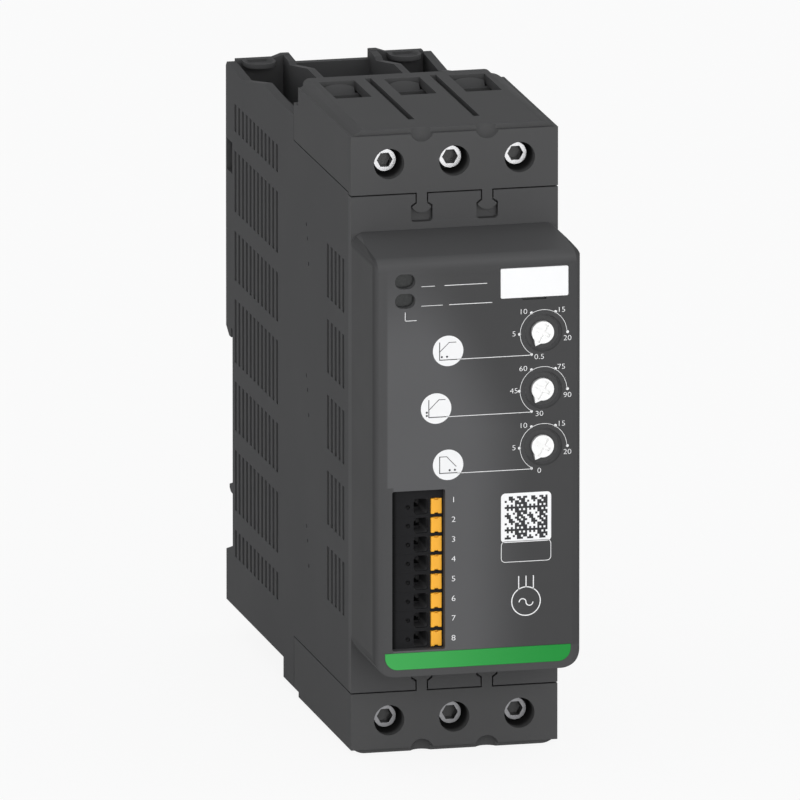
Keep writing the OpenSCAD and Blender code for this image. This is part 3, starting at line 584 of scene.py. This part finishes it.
def print_arc(x, height, radius, first, last, width=ARC_WIDTH):
    """Part of a ring, with angles in degrees clockwise from the top."""
    release()
    inner, outer = radius - width / 2, radius + width / 2
    bpy.ops.mesh.primitive_circle_add(vertices=ARC_POINTS, radius=inner * MM)
    arc = bpy.context.object
    bpy.ops.object.mode_set(mode="EDIT")
    bpy.ops.mesh.select_mode(type="VERT")
    bpy.ops.mesh.select_all(action="DESELECT")
    bpy.ops.object.mode_set(mode="OBJECT")
    for vertex in arc.data.vertices:
        turn = (math.degrees(math.atan2(vertex.co.x, vertex.co.y)) - first) % 360
        vertex.select = turn > last - first + ARC_SLACK
    bpy.ops.object.mode_set(mode="EDIT")
    bpy.ops.mesh.delete(type="VERT")
    bpy.ops.mesh.select_all(action="SELECT")
    bpy.ops.mesh.extrude_region()
    grow = outer / inner
    bpy.ops.transform.resize(value=(grow, grow, 1), center_override=(0, 0, 0))
    bpy.ops.mesh.select_all(action="SELECT")
    bpy.ops.mesh.normals_make_consistent(inside=False)
    bpy.ops.object.mode_set(mode="OBJECT")
    if arc.data.polygons[0].normal.z < 0:
        arc.data.flip_normals()
    arc.location, arc.rotation_euler = spot(x, height), UPRIGHT
    return thickened(arc, INK_THICK)


def print_number(words, x, height, size=NUMBER_SIZE):
    """A plain number printed on the face."""
    release()
    middle = spot(x, height) - Vector((0, INK_THICK / 2, 0))
    bpy.ops.object.text_add(location=middle, rotation=UPRIGHT)
    number = bpy.context.object
    number.data.body, number.data.size, number.data.extrude = words, size * MM, INK_THICK / 2
    number.data.align_x, number.data.align_y = "CENTER", "CENTER"
    number.data.resolution_u, number.data.offset = 4, NUMBER_THIN
    number.scale.x = NUMBER_STRETCH
    bpy.ops.object.convert(target="MESH")
    return applied(bpy.context.object, "number")


def printed(name, parts, ink):
    """Joins prints into one piece that rides on the case."""
    release()
    for part in parts:
        part.select_set(True)
    bpy.context.view_layer.objects.active = parts[0]
    if len(parts) > 1:
        bpy.ops.object.join()
    piece = bpy.context.object
    piece.name = piece.data.name = name
    piece.data.materials.clear()
    piece.data.materials.append(ink)
    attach(piece, "case")


for i, height in enumerate(DIAL_HEIGHTS):
    scale = [print_arc(DIAL_X, height, ARC_RADIUS, DOT_ANGLES[0], DOT_ANGLES[-1])]
    for angle, words, (across, up) in zip(DOT_ANGLES, DIAL_NUMBERS[i], NUMBER_SPOTS):
        turn = math.radians(angle)
        dot_x, dot_height = DIAL_X + DOT_RING * math.sin(turn), height + DOT_RING * math.cos(turn)
        scale.append(print_disc(dot_x, dot_height, DOT_RADIUS, DOT_POINTS))
        scale.append(print_number(words, DIAL_X + across, height + up))
    lead = height - LEAD_DROP
    scale.append(print_bar(PICTURE_X[i] + LEAD_START, lead, DIAL_X - LEAD_END, lead))
    printed(f"dial_scale_{i + 1}", scale, ink_white)

# Dial pictures
# A white disc of ink for each dial, with a small graph over it in dark ink:
# rising time, starting level, falling time.
PICTURE_RADIUS, PICTURE_POINTS, PICTURE_DROP = 3.3, 64, 2.75
AXIS_WIDTH, CURVE_WIDTH, MARK_RADIUS = 0.18, 0.14, 0.23
OVERPRINT = 2 * INK_THICK
# Each graph's lines from point to point and its two dots, in mm from the disc's middle
GRAPH_AXES = (
    ((-1.84, 1.83, -1.84, -1.92), (-1.84, -1.92, 1.9, -1.92)),
    ((-1.58, 1.83, -1.58, -1.88), (-1.58, -1.88, 2.1, -1.88)),
    ((-1.83, 1.77, -1.83, -1.79), (-1.83, -1.79, 1.9, -1.79)),
)
GRAPH_CURVES = (
    ((-1.78, -0.12, 0.25, 1.83), (0.25, 1.83, 1.7, 1.83)),
    ((-1.45, -0.2, 0.6, 1.87), (0.6, 1.87, 1.95, 1.87)),
    ((-1.83, 1.77, -0.3, 1.77), (-0.3, 1.77, 1.74, -0.4)),
)
GRAPH_MARKS = (
    ((-1.37, -1.27), (-0.23, -1.25)),
    ((-2.02, -0.8), (-2.02, -1.5)),
    ((0.34, -1.18), (1.48, -1.16)),
)
ink_dark = moulded("ink_dark", (0.05, 0.05, 0.052), rough=0.6, grain=0.02, spread=0.03)
for i, height in enumerate(DIAL_HEIGHTS):
    x, middle = PICTURE_X[i], height - PICTURE_DROP
    disc = print_disc(x, middle, PICTURE_RADIUS, PICTURE_POINTS)
    printed(f"dial_picture_{i + 1}", [disc], ink_white)
    graph = []
    for width, lines in ((AXIS_WIDTH, GRAPH_AXES[i]), (CURVE_WIDTH, GRAPH_CURVES[i])):
        for x0, up0, x1, up1 in lines:
            graph.append(print_bar(x + x0, middle + up0, x + x1, middle + up1, width, OVERPRINT))
    for across, up in GRAPH_MARKS[i]:
        graph.append(print_disc(x + across, middle + up, MARK_RADIUS, DOT_POINTS, OVERPRINT))
    printed(f"dial_graph_{i + 1}", graph, ink_dark)

# Terminal numbers and lens lines
# White ink on the film: plain numbers beside the eight control terminals
# and fine rules beside each lens.
ROW_X, ROW_HEIGHT, ROW_PITCH, ROW_NUMBER_SIZE = -5.3, 16.25, 4.29, 1.75
FINE_WIDTH = 0.1
# Each rule's first point, last point and width in mm
LENS_RULES = (
    (-12.25, 92.85, -9.4, 92.85, FINE_WIDTH),
    (-7.2, 92.85, 1.9, 92.85, LINE_WIDTH),
    (-12.25, 88.65, -7.7, 88.65, FINE_WIDTH),
    (-6.2, 88.65, 3.0, 88.65, LINE_WIDTH),
    (LENS_X, 87.4, LENS_X, 85.6, LINE_WIDTH),
    (LENS_X, 85.6, -13.4, 85.6, LINE_WIDTH),
)
numbers = []
for row in range(len(buttons)):
    words = str(len(buttons) - row)
    numbers.append(print_number(words, ROW_X, ROW_HEIGHT + row * ROW_PITCH, ROW_NUMBER_SIZE))
printed("terminal_numbers", numbers, ink_white)
printed("lens_lines", [print_bar(*rule) for rule in LENS_RULES], ink_white)

# Paper label and ruled box
# A white paper label with rounded corners and a plain pattern of dark squares, above an
# empty ruled box in white ink.
LABEL_X, LABEL_FOOT, LABEL_WIDTH, LABEL_HEIGHT, SQUARE_COUNT = 5.0, 36.3, 10.9, 10.7, 21
CORNER, SIDE_MARGIN, FOOT_MARGIN = 0.9, 0.8, 0.7
BOX_FOOT, BOX_TOP = 32.0, 36.6


def print_plate(x0, height0, x1, height1, rule=0.0):
    """A rectangle with rounded corners, or only its outline where a rule's width is given."""
    release()
    bpy.ops.mesh.primitive_plane_add(size=1, location=(spot(x0, height0) + spot(x1, height1)) / 2,
                                     rotation=UPRIGHT)
    plate = bpy.context.object
    plate.scale = ((x1 - x0) * MM, (height1 - height0) * MM, 1)
    plate = applied(plate, "plate")
    bpy.ops.object.mode_set(mode="EDIT")
    bpy.ops.mesh.select_all(action="SELECT")
    bpy.ops.mesh.bevel(offset=CORNER * MM, segments=6, affect="VERTICES")
    if rule:
        bpy.ops.mesh.select_all(action="SELECT")
        bpy.ops.mesh.inset(thickness=rule * MM)
        bpy.ops.mesh.delete(type="FACE")
    bpy.ops.object.mode_set(mode="OBJECT")
    return thickened(plate, INK_THICK)


def is_dark(row, column):
    """An even mix of dark and pale squares by plain arithmetic; it stands for nothing."""
    return column < SQUARE_COUNT and (row * row * 7 + column * 13 + row * column * 5) % 11 < 6


label_right = LABEL_X + LABEL_WIDTH
label = print_plate(LABEL_X, LABEL_FOOT, label_right, LABEL_FOOT + LABEL_HEIGHT)
printed("code_label", [label], label_white)
cell = (LABEL_WIDTH - 2 * SIDE_MARGIN) / SQUARE_COUNT
squares = []
for row in range(SQUARE_COUNT):
    height = LABEL_FOOT + FOOT_MARGIN + (row + 0.5) * cell
    start = None
    for column in range(SQUARE_COUNT + 1):
        dark = is_dark(row, column)
        if dark and start is None:
            start = column
        if not dark and start is not None:
            first = LABEL_X + SIDE_MARGIN + (start + 0.5) * cell
            last = LABEL_X + SIDE_MARGIN + (column - 0.5) * cell
            squares.append(print_bar(first, height, last, height, cell, OVERPRINT))
            start = None
printed("code_squares", squares, ink_dark)
box = print_plate(LABEL_X, BOX_FOOT, label_right, BOX_TOP, rule=LINE_WIDTH)
printed("code_frame", [box], ink_white)

# Motor sign
# White ink on the film: the usual circuit sign of a three-phase motor,
# three lines into a circle with a wave.
SIGN_X, SIGN_HEIGHT, SIGN_RADIUS, SIGN_WIDTH = 10.45, 23.4, 3.1, 0.22
PHASE_SPOTS, PHASE_TOP = (-1.6, 0.0, 1.6), 5.4
WAVE_RADIUS, WAVE_DROP = 0.75, 0.2
sign = [print_arc(SIGN_X, SIGN_HEIGHT, SIGN_RADIUS, -180, 179.9, SIGN_WIDTH)]
for across in PHASE_SPOTS:
    x, foot = SIGN_X + across, math.sqrt(SIGN_RADIUS ** 2 - across * across)
    sign.append(print_bar(x, SIGN_HEIGHT + foot, x, SIGN_HEIGHT + PHASE_TOP, SIGN_WIDTH))
for x, first, last in ((SIGN_X - WAVE_RADIUS, -90, 90), (SIGN_X + WAVE_RADIUS, 90, 270)):
    sign.append(print_arc(x, SIGN_HEIGHT - WAVE_DROP, WAVE_RADIUS, first, last, SIGN_WIDTH))
printed("motor_sign", sign, ink_white)
